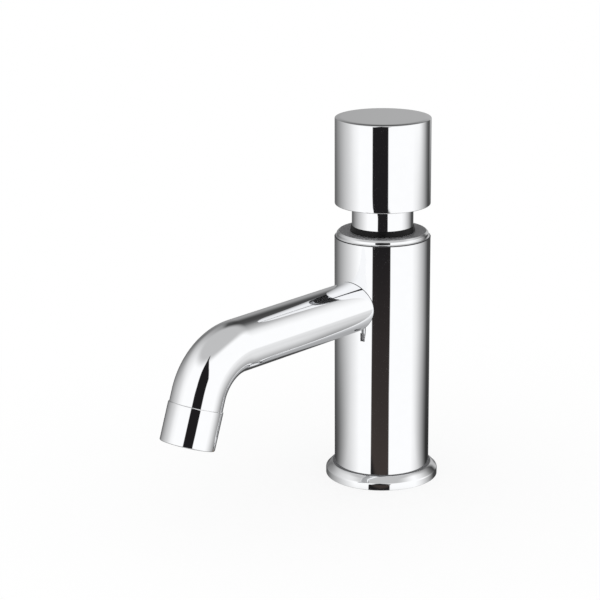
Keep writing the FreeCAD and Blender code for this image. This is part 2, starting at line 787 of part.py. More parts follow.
# Guide bush, stem ring and clip: the plastic bush that the spindle runs in, its seal, and its clip.
bush = ring("guide_bush", "spindle_r + fit_gap", "bush_r", "bush_bottom_z", "bush_top_z")
stem_groove_top = "stem_ring_z + groove_w / 2"
ring_cut(bush, "spindle_r", "stem_ring_r + stem_section", "stem_ring_z - groove_w / 2", stem_groove_top)
o_ring("stem_o_ring", "stem_ring_r", "stem_section", "stem_ring_z")
clip = ring("retaining_ring", "clip_bore_r", "clip_r", "bush_bottom_z - clip_t", "bush_bottom_z")
opening_bottom = "bush_bottom_z - clip_t * 2"
opening_top = "bush_bottom_z + clip_t"
opening = box_outline(clip, "XZ_Plane", "-clip_opening / 2", "clip_opening / 2", opening_bottom, opening_top)
cut_to(clip, opening, "clip_r * 2")

# Cartridge housing: a sleeve with a timing cup below, inlet windows, a waist that seals in the body's web,
# outlet windows beside the spout port, and a flange that the bonnet holds down.
housing = turned(
    "cartridge_housing",
    [
        ("cup_r", "cup_bottom_z"),
        ("cartridge_r", "cup_bottom_z"),
        ("cartridge_r", "web_top_z"),
        ("flange_r", "web_top_z"),
        ("flange_r", "web_top_z + flange_h"),
        ("sleeve_r", "web_top_z + flange_h"),
        ("sleeve_r", "top_flange_z"),
        ("flange_r", "top_flange_z"),
        ("flange_r", "bonnet_bottom_z"),
        ("seat_r", "bonnet_bottom_z"),
        ("seat_r", "seat_z"),
        ("cup_r", "seat_z"),
    ],
)
for label, groove_r, land_r, middle in (
    ("cartridge_o_ring_lower", "web_groove_r", "cartridge_r", "web_ring_z"),
    ("cartridge_o_ring_upper", "ring_groove_r", "flange_r", "top_ring_z"),
):
    low = "%s - groove_w / 2" % middle
    high = "%s + groove_w / 2" % middle
    ring_cut(housing, groove_r, "%s * 1.1" % land_r, low, high)
    o_ring(label, "%s + ring_section" % groove_r, "ring_section", middle)
for width, bottom, top in (
    ("inlet_window_w", "inlet_window_z", "inlet_window_top"),
    ("outlet_window_w", "outlet_window_z", "outlet_window_top"),
):
    window = box_outline(housing, "XZ_Plane", "-%s / 2" % width, "%s / 2" % width, bottom, top)
    repeated(housing, cut_to(housing, window, "flange_r * 1.5"), "window_count")

# Valve seat: the hard ring with a raised lip that the valve washer closes on from below.
turned(
    "valve_seat",
    [
        ("seat_bore_r", "seat_z - seat_lip_h"),
        ("seat_lip_r", "seat_z - seat_lip_h"),
        ("seat_lip_r", "seat_z"),
        ("seat_r - fit_gap", "seat_z"),
        ("seat_r - fit_gap", "seat_z + seat_h"),
        ("seat_bore_r", "seat_z + seat_h"),
    ],
)

# Cartridge plug and timing screw: they close the timing cup, and the screw sets how slowly it fills.
ring("cartridge_plug", "screw_r + fit_gap", "cup_r - fit_gap", "cup_bottom_z", "plug_top_z")
timing_screw = turned(
    "timing_screw",
    [
        ("0", "cup_bottom_z - screw_head_h"),
        ("screw_head_r", "cup_bottom_z - screw_head_h"),
        ("screw_head_r", "cup_bottom_z"),
        ("screw_r", "cup_bottom_z"),
        ("screw_r", "plug_top_z"),
        ("0", "plug_top_z"),
    ],
)
screw_slot = box_outline(
    timing_screw, "XY_Plane", "-screw_slot_w / 2", "screw_slot_w / 2", "-screw_head_r * 2", "screw_head_r * 2"
)
moved_sketch(screw_slot, "0", "0", "cup_bottom_z - screw_head_h")
cut_to(timing_screw, screw_slot, "screw_head_h / 2")

# Spindle: the rod that joins button and valve.
turned(
    "spindle",
    [
        ("0", "spindle_bottom_z"),
        ("spindle_r", "spindle_bottom_z"),
        ("spindle_r", "spindle_top_z - spindle_bevel"),
        ("spindle_r - spindle_bevel", "spindle_top_z"),
        ("0", "spindle_top_z"),
    ],
)

# Piston, lip seal, valve washer and retainer: they ride on the spindle's lower end. The washer shuts against
# the seat, and the lip seal lets water out of the timing cup fast and back in slowly.
piston = turned(
    "piston",
    [
        ("0", "piston_bottom_z"),
        ("piston_r", "piston_bottom_z"),
        ("piston_r", "crown_top_z"),
        ("piston_neck_r", "crown_top_z"),
        ("piston_neck_r", "head_z"),
        ("head_r", "head_z"),
        ("head_r", "valve_washer_z"),
        ("spindle_r + fit_gap", "valve_washer_z"),
        ("spindle_r + fit_gap", "spindle_bottom_z"),
        ("0", "spindle_bottom_z"),
    ],
)
ring_cut(piston, "lip_groove_r", "piston_r * 1.1", "lip_z", "lip_z + lip_h")
ring("lip_seal", "lip_groove_r + fit_gap", "cup_r - fit_gap", "lip_z", "lip_z + lip_h")
ring("valve_washer", "spindle_r + fit_gap", "valve_washer_r", "valve_washer_z", "retainer_z")
ring("valve_retainer", "spindle_r + fit_gap", "retainer_r", "retainer_z", "retainer_z + retainer_h")

# Button cap: the large plain cylinder that is pressed, hollow below, with a soft top edge.
cap = turned(
    "button_cap",
    [
        ("0", "cap_top_z"),
        ("cap_r", "cap_top_z"),
        ("cap_r", "cap_bottom_z"),
        ("cap_bore_r", "cap_bottom_z"),
        ("cap_bore_r", "cap_ledge_z"),
        ("cap_inner_r", "cap_ledge_z"),
        ("cap_inner_r", "cap_ceiling_z"),
        ("0", "cap_ceiling_z"),
    ],
)
rounded(cap, "cap_r", "cap_top_z", "cap_edge")
rounded(cap, "cap_r", "cap_bottom_z", "cap_foot_edge")

# Button hub and lock nut: the disc that carries the cap on the spindle.
turned(
    "button_hub",
    [
        ("spindle_r + fit_gap", "hub_bottom_z"),
        ("cap_bore_r - fit_gap", "hub_bottom_z"),
        ("cap_bore_r - fit_gap", "cap_ledge_z"),
        ("hub_boss_r", "cap_ledge_z"),
        ("hub_boss_r", "hub_boss_top_z"),
        ("spindle_r + fit_gap", "hub_boss_top_z"),
    ],
)
hex_nut("lock_nut", "lock_flats", "spindle_r + fit_gap", "hub_boss_top_z", "lock_nut_h", "lock_bevel")

# Guide ring: closes the cap's open end and runs on the neck.
ring("guide_ring", "neck_r + fit_gap", "cap_bore_r - fit_gap", "guide_bottom_z", "guide_bottom_z + guide_h")

# Return spring: one unbroken wire from the plug up to the piston, wound as arcs that join in line and
# eight-sided in section.


half_turns = round(worked("coil_turns") * 2)


def coil_point(turns):
    """A place on the coil's middle line and the way the wire runs there."""
    rise = worked("spring_length - wire_r * 2")
    radius = worked("coil_r")
    total = half_turns / 2
    way = FreeCAD.Rotation(FreeCAD.Vector(0, 0, 1), turns * 360)
    out = way.multVec(FreeCAD.Vector(radius, 0, 0))
    height = worked("plug_top_z + wire_r") + rise * turns / total
    along = way.multVec(FreeCAD.Vector(0, radius * 6.283185, rise / total))
    return out + FreeCAD.Vector(0, 0, height), along.normalize()


def arc_from(start, along, end):
    """The arc that leaves a point in a given direction and ends at another point."""
    chord = end - start
    straight = FreeCAD.Vector(chord).normalize()
    side = along - straight * along.dot(straight)
    bulge = chord.Length / 2 * (1 - along.dot(straight)) / side.Length
    crown = start + chord * 0.5 + side.normalize() * bulge
    return Part.Arc(start, crown, end).toShape()


def coil_arcs(turns, step):
    """The pair of arcs that follows the coil over one step, meeting in line halfway."""
    start, start_way = coil_point(turns)
    end, end_way = coil_point(turns + step)
    reach = end - start
    open_up = 2 * (1 - start_way.dot(end_way))
    along = reach.dot(start_way + end_way)
    arm = ((along * along + open_up * reach.dot(reach)) ** 0.5 - along) / open_up
    joint = (start + end + (start_way - end_way) * arm) * 0.5
    return [arc_from(start, start_way, joint), arc_from(end, -end_way, joint)]


arcs = []
for half in range(half_turns):
    arcs += coil_arcs(half * 0.5, 0.5)
coil_path = Part.Wire(Part.__sortEdges__(arcs))
coil_start, coil_way = coil_point(0)
corners = []
for side in range(8):
    round_wire = FreeCAD.Rotation(coil_way, 45 * side)
    corners.append(coil_start + round_wire.multVec(FreeCAD.Vector(worked("wire_r"), 0, 0)))
wire_end = Part.makePolygon(corners + corners[:1])
spring = doc.addObject("Part::Feature", "return_spring")
spring.Label = "return_spring"
spring.Shape = coil_path.makePipeShell([wire_end], True, False)
parts.append(spring)
samples = [coil_point(number / 24)[0] for number in range(half_turns * 12 + 1)]
gaps = [
    place.distanceToPoint(other)
    for number, place in enumerate(samples)
    for other in samples[number + 12:]
]
print("least gap of the spring to itself: %.2f mm" % (min(gaps) - 2 * worked("wire_r")))

# Check every object, then write each sub-part.
doc.recompute()
for item in doc.Objects:
    if "Invalid" in item.State or "Error" in item.State:
        raise RuntimeError("%s did not build: %s" % (item.Label, item.State))
os.makedirs("parts", exist_ok=True)
for part in parts:
    if part.Shape.isNull() or not part.Shape.isValid():
        raise RuntimeError("%s has no valid shape" % part.Label)
    part.Shape.exportStep("parts/%s.step" % part.Label)
    box = part.Shape.BoundBox
    extent = (box.XMin, box.XMax, box.YMin, box.YMax, box.ZMin, box.ZMax)
    print("%-24s %9.1f mm3 " % (part.Label, part.Shape.Volume) + " ".join("%8.2f" % side for side in extent))
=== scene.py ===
import math

import bmesh
import bpy
from mathutils import Matrix, Quaternion, Vector


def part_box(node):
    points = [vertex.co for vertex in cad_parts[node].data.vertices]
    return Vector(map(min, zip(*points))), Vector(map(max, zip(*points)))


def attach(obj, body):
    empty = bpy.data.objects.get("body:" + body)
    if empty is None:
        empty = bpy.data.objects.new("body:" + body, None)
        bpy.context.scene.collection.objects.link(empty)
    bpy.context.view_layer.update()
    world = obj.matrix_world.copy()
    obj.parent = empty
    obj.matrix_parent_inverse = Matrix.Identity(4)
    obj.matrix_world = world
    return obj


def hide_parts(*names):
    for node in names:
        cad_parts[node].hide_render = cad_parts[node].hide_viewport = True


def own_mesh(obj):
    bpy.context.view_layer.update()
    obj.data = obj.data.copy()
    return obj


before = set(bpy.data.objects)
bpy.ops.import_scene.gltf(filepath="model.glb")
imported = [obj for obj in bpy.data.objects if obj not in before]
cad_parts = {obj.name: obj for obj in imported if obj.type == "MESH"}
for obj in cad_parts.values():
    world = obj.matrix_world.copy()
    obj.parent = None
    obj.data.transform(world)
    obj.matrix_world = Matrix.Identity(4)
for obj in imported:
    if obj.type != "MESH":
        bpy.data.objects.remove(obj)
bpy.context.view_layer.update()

# Base ring: the low turned brass ring under the body, chrome plated. It covers the hole in the deck. Above
# an upright land it slopes up towards the body's foot, where a narrow groove parts the two. The groove's
# flat floor is painted dark grey as painted shade.
ring_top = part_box("base_ring")[1]
ring_radius = ring_top.x
ring_height = ring_top.z
ring_bore = 0.02005
ring_land = 0.0030
ring_land_edge = 0.0004
ring_slope_radius = 0.02335
ring_slope_height = 0.00515
ring_slope_round = 0.0007
ring_shelf_radius = 0.0215
groove_width = 0.0010
fine_edge = 0.0002
chrome_shade = (0.925, 0.932, 0.945, 1)
chrome_light = (0.935, 0.942, 0.955, 1)
groove_shade = (0.090, 0.090, 0.095, 1)
groove_light = (0.130, 0.130, 0.135, 1)
steps_round = 192
edge_segments = 4
sharpest_smooth_edge = math.radians(40)
same_place = 0.000002
merge_distance = 0.000001
noise_detail = 3
noise_low = 0.3
noise_high = 0.7
second_finish = 1
third_finish = 2

groove_rise = (ring_height - ring_slope_height) * groove_width / (ring_slope_radius - ring_shelf_radius)
groove_floor = ring_height - groove_rise
groove_radius = ring_shelf_radius + groove_width


def edge_lies_at(edge, radius, height):
    """Whether an edge runs round the Z axis at one radius and height."""
    return all(
        abs(math.hypot(end.co.x, end.co.y) - radius) < same_place and abs(end.co.z - height) < same_place
        for end in edge.verts
    )


def turned_mesh(outline, steps=steps_round):
    """Turn an outline of (radius, height, edge softness) corners round Z and soften its edges."""
    shape = bmesh.new()
    corners = [shape.verts.new((radius, 0, height)) for radius, height, soft in outline]
    sides = [shape.edges.new(pair) for pair in zip(corners, corners[1:])]
    if outline[0][0] > 0 or outline[-1][0] > 0:
        sides.append(shape.edges.new((corners[-1], corners[0])))
    bmesh.ops.spin(
        shape,
        geom=corners + sides,
        cent=(0, 0, 0),
        axis=(0, 0, 1),
        angle=math.tau,
        steps=steps,
        use_merge=True,
    )
    bmesh.ops.remove_doubles(shape, verts=shape.verts, dist=merge_distance)
    for radius, height, soft in outline:
        if soft > 0:
            bmesh.ops.bevel(
                shape,
                geom=[edge for edge in shape.edges if edge_lies_at(edge, radius, height)],
                offset=soft,
                segments=edge_segments,
                affect="EDGES",
                profile=0.5,
                material=-1,
            )
    bmesh.ops.recalc_face_normals(shape, faces=shape.faces)
    return shape


def mark_faces(shape, number, low, high, inner, outer):
    """Give the faces between two heights and two radii one of the piece's further finishes."""
    for face in shape.faces:
        middle = face.calc_center_median()
        if low < middle.z < high and inner < math.hypot(middle.x, middle.y) < outer:
            face.material_index = number


def new_object(shape, name):
    """Make an object of the scene from a mesh that is done."""
    mesh = bpy.data.meshes.new(name)
    shape.to_mesh(mesh)
    shape.free()
    thing = bpy.data.objects.new(name, mesh)
    bpy.context.scene.collection.objects.link(thing)
    return thing


def finished(shape, name, material, slot, *nodes, body="tap"):
    """Make a piece of a mesh, smooth it, give it its finish and put it in place of its nodes."""
    for face in shape.faces:
        face.smooth = True
    piece = new_object(shape, name)
    piece.data.set_sharp_from_angle(angle=sharpest_smooth_edge)
    piece.data.materials.append(material)
    flattened = piece.modifiers.new("flat faces stay flat", "WEIGHTED_NORMAL")
    flattened.weight = 100
    flattened.keep_sharp = True
    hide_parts(*nodes)
    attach(piece, body)
    return piece


def new_finish(name, shade, light, metallic, grain, gloss, relief, stretch=(1, 1, 1)):
    """A material whose tint, gloss and relief vary with one noise on the piece's own coordinates.

    grain is the noise's scale, gloss the lowest and highest roughness, and relief its height in metres."""
    material = bpy.data.materials.new(name)
    material.use_nodes = True
    nodes = material.node_tree.nodes
    links = material.node_tree.links
    shader = nodes["Principled BSDF"]
    shader.inputs["Metallic"].default_value = metallic
    place = nodes.new("ShaderNodeTexCoord")
    stretched = nodes.new("ShaderNodeMapping")
    stretched.inputs["Scale"].default_value = stretch
    noise = nodes.new("ShaderNodeTexNoise")
    noise.inputs["Scale"].default_value = grain
    noise.inputs["Detail"].default_value = noise_detail
    tints = nodes.new("ShaderNodeValToRGB")
    tints.color_ramp.elements[0].position = noise_low
    tints.color_ramp.elements[0].color = shade
    tints.color_ramp.elements[1].position = noise_high
    tints.color_ramp.elements[1].color = light
    spread = nodes.new("ShaderNodeMapRange")
    spread.inputs["From Min"].default_value = noise_low
    spread.inputs["From Max"].default_value = noise_high
    spread.inputs["To Min"].default_value = gloss[0]
    spread.inputs["To Max"].default_value = gloss[1]
    bump = nodes.new("ShaderNodeBump")
    bump.inputs["Strength"].default_value = 1
    bump.inputs["Distance"].default_value = relief
    links.new(place.outputs["Object"], stretched.inputs["Vector"])
    links.new(stretched.outputs["Vector"], noise.inputs["Vector"])
    links.new(noise.outputs["Fac"], tints.inputs["Fac"])
    links.new(noise.outputs["Fac"], spread.inputs["Value"])
    links.new(noise.outputs["Fac"], bump.inputs["Height"])
    links.new(tints.outputs["Color"], shader.inputs["Base Color"])
    links.new(spread.outputs["Result"], shader.inputs["Roughness"])
    links.new(bump.outputs["Normal"], shader.inputs["Normal"])
    material.diffuse_color = light
    return material


chrome = new_finish(
    "polished_chrome",
    chrome_shade,
    chrome_light,
    metallic=1,
    grain=260,
    gloss=(0.015, 0.035),
    relief=0.0000003,
)
ring_shape = turned_mesh(
    [
        (ring_bore, 0, fine_edge / 2),
        (ring_radius, 0, fine_edge),
        (ring_radius, ring_land, ring_land_edge),
        (ring_slope_radius, ring_slope_height, ring_slope_round),
        (groove_radius, groove_floor, 0),
        (ring_shelf_radius, groove_floor, 0),
        (ring_shelf_radius, ring_height, 0),
        (ring_bore, ring_height, 0),
    ]
)
# The groove's flat floor gets the second finish, a dark grey matt tint that is painted shade in the gap.
groove_low = groove_floor - fine_edge / 2
groove_high = groove_floor + fine_edge / 2
mark_faces(ring_shape, second_finish, groove_low, groove_high, ring_shelf_radius, groove_radius)
ring_piece = finished(ring_shape, "base_ring_chrome", chrome, "chrome", "base_ring")
# Dark grey matt finish for the groove's floor: painted shade.
groove_painted_shade = new_finish(
    "groove_painted_shade",
    groove_shade,
    groove_light,
    metallic=0,
    grain=900,
    gloss=(0.6, 0.7),
    relief=0.000002,
)
ring_piece.data.materials.append(groove_painted_shade)

# Base gasket: a flat rubber ring under the body's foot, which keeps splashed water out of the deck's hole.
# It is cut from black sheet, matt and a little grainy.
rubber_shade = (0.018, 0.018, 0.019, 1)
rubber_light = (0.028, 0.028, 0.029, 1)
rubber = new_finish(
    "black_rubber",
    rubber_shade,
    rubber_light,
    metallic=0,
    grain=900,
    gloss=(0.6, 0.8),
    relief=0.00001,
)


def redress(node, material):
    """Keep a CAD node's own shape and give it a finish."""
    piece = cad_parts[node]
    piece.data.materials.clear()
    piece.data.materials.append(material)


redress("base_gasket", rubber)

# Body shell: a brass casting turned to a plain cylinder and chrome plated. Its top steps in over a sloped
# ledge to a low rim with a bevelled edge, and a near-black hairline of painted shade runs round under the
# rim.
# The rim's flat top is left satin, and so is a small upright slot in the wall beside the spout, for a peg
# spanner; both are rough metal whose darker grey tint is painted shade.
body_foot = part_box("body_shell")[0].z
body_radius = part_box("body_shell")[1].x
body_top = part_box("body_shell")[1].z
body_foot_radius = 0.020
rim_radius = 0.0205
rim_top_radius = 0.0196
rim_bevel_height = 0.00085
rim_height = 0.0010
ledge_height = 0.00075
body_bore = 0.01305
bore_bottom = 0.095
chamber_radius = 0.0175
chamber_bottom = 0.017
web_radius = 0.0116
web_top = 0.073
web_bottom = 0.057
inlet_radius = 0.008
tail_ledge = 0.0155
tail_socket = 0.01055
slot_middle = 0.07025
slot_height = 0.0037
slot_depth = 0.0012
slot_turn = math.radians(18)
slot_steps = 3
hairline = 0.00035
satin_shade = (0.46, 0.46, 0.47, 1)
satin_light = (0.54, 0.54, 0.55, 1)
hairline_shade = (0.020, 0.020, 0.022, 1)
hairline_light = (0.035, 0.035, 0.038, 1)

rim_foot = body_top - rim_bevel_height - rim_height
ledge_foot = rim_foot - ledge_height
hairline_radius = body_radius - hairline * (body_radius - rim_radius) / ledge_height
slot_bottom = slot_middle - slot_height / 2
slot_top = slot_middle + slot_height / 2
body_shape = turned_mesh(
    [
        (tail_socket, body_foot, 0),
        (body_foot_radius, body_foot, 0),
        (body_foot_radius, ring_height, 0),
        (body_radius, ring_height, 0),
        (body_radius, slot_bottom, 0),
        (body_radius, slot_top, 0),
        (body_radius, ledge_foot, 0),
        (hairline_radius, ledge_foot + hairline, 0),
        (rim_radius, rim_foot, fine_edge / 2),
        (rim_radius, rim_foot + rim_height, fine_edge / 2),
        (rim_top_radius, body_top, fine_edge / 2),
        (body_bore, body_top, fine_edge / 2),
        (body_bore, bore_bottom, 0),
        (chamber_radius, bore_bottom, 0),
        (chamber_radius, web_top, 0),
        (web_radius, web_top, 0),
        (web_radius, web_bottom, 0),
        (chamber_radius, web_bottom, 0),
        (chamber_radius, chamber_bottom, 0),
        (inlet_radius, chamber_bottom, 0),
        (inlet_radius, tail_ledge, 0),
        (tail_socket, tail_ledge, 0),
    ]
)


def cut_wall_slot(shape):
    """Push a few facets of the wall inwards, and give the slot's sides and floor the second finish."""
    step = math.tau / steps_round
    first = slot_turn - math.pi / 2 - step * slot_steps / 2
    first = round(first / step) * step
    facets = []
    for face in shape.faces:
        middle = face.calc_center_median()
        turn = math.atan2(middle.y, middle.x)
        outside = math.hypot(middle.x, middle.y) > body_radius - fine_edge
        if outside and slot_bottom < middle.z < slot_top and first < turn < first + step * slot_steps:
            facets.append(face)
    inward = -sum((face.normal for face in facets), Vector()).normalized()
    grown = bmesh.ops.extrude_face_region(shape, geom=facets)["geom"]
    floor_points = [item for item in grown if isinstance(item, bmesh.types.BMVert)]
    bmesh.ops.translate(shape, verts=floor_points, vec=inward * slot_depth)
    # The slot's sides and floor get the satin finish, rough metal whose darker grey tint is painted shade in
    # the recess.
    for point in floor_points:
        for face in point.link_faces:
            face.material_index = second_finish
    bmesh.ops.delete(shape, geom=[face for face in facets if face.is_valid], context="FACES")
    bmesh.ops.recalc_face_normals(shape, faces=shape.faces)


cut_wall_slot(body_shape)
# The rim's flat top gets the same satin finish; its darker grey tint is painted shade.
rim_flat_low = body_top - fine_edge / 4
rim_flat_high = body_top + fine_edge / 4
mark_faces(body_shape, second_finish, rim_flat_low, rim_flat_high, body_bore, rim_top_radius)
# The hairline strip at the ledge's foot gets the near-black third finish: painted shade under the rim.
mark_faces(body_shape, third_finish, ledge_foot, ledge_foot + hairline, rim_radius, body_radius)
body_piece = finished(body_shape, "body_shell_chrome", chrome, "chrome", "body_shell")
# Satin metal: truly rough, with its tint darkened as painted shade of the slot and the rim's top.
satin_painted_shade = new_finish(
    "satin_chrome_painted_shade",
    satin_shade,
    satin_light,
    metallic=1,
    grain=1500,
    gloss=(0.45, 0.6),
    relief=0.000004,
)
# Near-black matt finish for the hairlines under the rim and at the spout's root: painted shade in the
# joints.
hairline_painted_shade = new_finish(
    "hairline_painted_shade",
    hairline_shade,
    hairline_light,
    metallic=0,
    grain=900,
    gloss=(0.6, 0.7),
    relief=0.000002,
)
body_piece.data.materials.append(satin_painted_shade)
body_piece.data.materials.append(hairline_painted_shade)

# Spout: a bent brass tube, chrome plated, its root fitted to the body's wall with a near-black hairline of
# painted shade at the joint. It runs out almost level and turns down at the end, where a narrower thread end
# goes up inside the collar.
tube_radius = 0.0114
tube_bore = 0.0096
tube_thread_radius = 0.0103
tube_thread_length = 0.008
tube_start = 0.008
spout_height = 0.08365
spout_fall = math.radians(1.5)
spout_drop = math.radians(71)
spout_run = 0.09245
bend_radius = 0.0244
spout_end = 0.0216
collar_height = 0.0169
bend_steps = 64
tube_steps = 128

tube_straight = spout_end - collar_height
level_way = Vector((0, -math.cos(spout_fall), -math.sin(spout_fall)))
down_way = Vector((0, -math.cos(spout_drop), -math.sin(spout_drop)))
spout_origin = Vector((0, 0, spout_height))
bend_start = spout_origin + level_way * spout_run
bend_middle = bend_start + Vector((0, math.sin(spout_fall), -math.cos(spout_fall))) * bend_radius
bend_end = bend_middle + Vector((0, -math.sin(spout_drop), math.cos(spout_drop))) * bend_radius
outlet = bend_end + down_way * spout_end


def new_ring(grown):
    """The points of a ring that was just extruded, and the edges along it."""
    points = [item for item in grown if isinstance(item, bmesh.types.BMVert)]
    edges = [item for item in grown if isinstance(item, bmesh.types.BMEdge)]
    return points, [edge for edge in edges if all(end in points for end in edge.verts)]


def drawn_tube(shape, radius, straight):
    """Draw a ring of points along the spout's line, and return its first two rings and its last as edges."""
    upright = Matrix.Rotation(math.pi / 2 + spout_fall, 4, "X")
    ring = bmesh.ops.create_circle(shape, segments=tube_steps, radius=radius)["verts"]
    bmesh.ops.rotate(shape, verts=ring, cent=(0, 0, 0), matrix=upright)
    bmesh.ops.translate(shape, verts=ring, vec=spout_origin + level_way * tube_start)
    first = list({edge for point in ring for edge in point.link_edges})
    points, second = new_ring(bmesh.ops.extrude_edge_only(shape, edges=first)["geom"])
    points, edges = new_ring(bmesh.ops.extrude_edge_only(shape, edges=second)["geom"])
    bmesh.ops.translate(shape, verts=points, vec=level_way * (spout_run - tube_start))
    bent = bmesh.ops.spin(
        shape,
        geom=points + edges,
        cent=bend_middle,
        axis=(1, 0, 0),
        angle=spout_drop - spout_fall,
        steps=bend_steps,
        use_merge=False,
    )["geom_last"]
    edges = [item for item in bent if isinstance(item, bmesh.types.BMEdge)]
    points, last = new_ring(bmesh.ops.extrude_edge_only(shape, edges=edges)["geom"])
    bmesh.ops.translate(shape, verts=points, vec=down_way * straight)
    return first, second, last


def stepped_in(shape, edges, factor, length):
    """Draw a ring's edges in towards the tube's middle line, and then on along it."""
    for scale, distance in ((factor, 0), (1, length)):
        points, edges = new_ring(bmesh.ops.extrude_edge_only(shape, edges=edges)["geom"])
        middle = sum((point.co for point in points), Vector()) / len(points)
        bmesh.ops.scale(shape, verts=points, vec=(scale,) * 3, space=Matrix.Translation(-middle))
        bmesh.ops.translate(shape, verts=points, vec=down_way * distance)
    return edges


def fitted_to_body(edges, distance):
    """Slide a root ring's points along the spout until they lie at a distance before the body's wall."""
    for point in {end for edge in edges for end in edge.verts}:
        reach = math.sqrt(body_radius * body_radius - point.co.x * point.co.x)
        point.co += level_way * ((-reach - point.co.y) / level_way.y + distance)


spout_shape = bmesh.new()
outer_root, outer_hairline, outer_end = drawn_tube(spout_shape, tube_radius, tube_straight)
fitted_to_body(outer_root, 0)
fitted_to_body(outer_hairline, hairline)
# The strip between the root and the next ring is painted near-black: painted shade in the joint.
for edge in outer_root:
    for face in edge.link_faces:
        face.material_index = second_finish
outer_end = stepped_in(spout_shape, outer_end, tube_thread_radius / tube_radius, tube_thread_length)
inner_straight = tube_straight + tube_thread_length
inner_root, inner_hairline, inner_end = drawn_tube(spout_shape, tube_bore, inner_straight)
fitted_to_body(inner_root, 0)
fitted_to_body(inner_hairline, hairline)
bmesh.ops.bridge_loops(spout_shape, edges=outer_root + inner_root)
bmesh.ops.bridge_loops(spout_shape, edges=outer_end + inner_end)
bmesh.ops.recalc_face_normals(spout_shape, faces=spout_shape.faces)
spout_piece = finished(spout_shape, "spout_tube_chrome", chrome, "chrome", "spout_tube")
spout_piece.data.materials.append(hairline_painted_shade)

# Spout nipple and its ring: a brass sleeve screwed into body and tube, which holds the two together. A
# rubber ring round it keeps the joint tight.
brass_shade = (0.52, 0.37, 0.16, 1)
brass_light = (0.68, 0.51, 0.25, 1)
brass = new_finish(
    "turned_brass",
    brass_shade,
    brass_light,
    metallic=1,
    grain=500,
    gloss=(0.2, 0.36),
    relief=0.000004,
    stretch=(1, 1, 6),
)
redress("spout_nipple", brass)
redress("spout_o_ring", rubber)

# Aerator collar: the short chrome ring at the outlet, a hair wider than the tube, with a fine joint above.
# It screws onto the tube's thread end, and a lip inside it carries the aerator.
collar_radius = 0.0118
collar_bore = 0.01035
collar_lip = 0.0092
collar_lip_height = 0.0016
collar_edge = 0.0005


def set_at_outlet(shape):
    """Put a piece turned upright onto the spout's downward run, its lower face at the outlet."""
    place = Matrix.Translation(outlet) @ Matrix.Rotation(spout_drop - math.pi / 2, 4, "X")
    bmesh.ops.transform(shape, matrix=place, verts=shape.verts)
    return shape


collar_shape = turned_mesh(
    [
        (collar_lip, 0, fine_edge),
        (collar_radius, 0, collar_edge),
        (collar_radius, collar_height, collar_edge),
        (collar_bore, collar_height, 0),
        (collar_bore, collar_lip_height, 0),
        (collar_lip, collar_lip_height, fine_edge),
    ],
    tube_steps,
)
finished(set_at_outlet(collar_shape), "aerator_collar_chrome", chrome, "chrome", "aerator_collar")

# Aerator insert, screen and washer: a moulded nozzle of pale grey plastic with drilled jets, a fine steel
# screen on it, and a rubber washer that seals both against the tube's end.
nozzle_shade = (0.48, 0.49, 0.50, 1)
nozzle_light = (0.55, 0.56, 0.57, 1)
steel_shade = (0.54, 0.54, 0.55, 1)
steel_light = (0.66, 0.66, 0.67, 1)
nozzle_plastic = new_finish(
    "grey_plastic",
    nozzle_shade,
    nozzle_light,
    metallic=0,
    grain=1200,
    gloss=(0.38, 0.5),
    relief=0.000004,
)
steel = new_finish(
    "turned_steel",
    steel_shade,
    steel_light,
    metallic=1,
    grain=700,
    gloss=(0.2, 0.34),
    relief=0.000003,
    stretch=(1, 1, 4),
)
redress("aerator_insert", nozzle_plastic)
redress("aerator_screen", steel)
redress("aerator_washer", rubber)

# Inlet tail: a brass tail with a G 1/2 thread in two stretches, parted by a plain relief groove. The lower
# one takes the supply's nut and the upper one the back nut. A lead-in bevel ends the thread below.
tail_radius = 0.0104775
tail_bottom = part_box("inlet_tail")[0].z
tail_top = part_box("inlet_tail")[1].z
tail_bore = 0.0064775
strainer_seat = 0.0079775
strainer_top = tail_bottom + 0.004
relief_bottom = tail_bottom + 0.019
relief_top = relief_bottom + 0.0012
tail_thread_top = -0.002
tail_lead = 0.0012
thread_pitch = 0.001814
thread_depth = 0.00116
thread_land = 1 / 6
thread_steps = 72
thread_sleeve = 0.0003
thread_merge_distance = 0.000005
cut_tolerance = 0.0000001


def set_radius(point, radius):
    """Move a point to a radius round the Z axis, at its own height and turn."""
    shrink = radius / math.hypot(point.co.x, point.co.y)
    point.co = Vector((point.co.x * shrink, point.co.y * shrink, point.co.z))


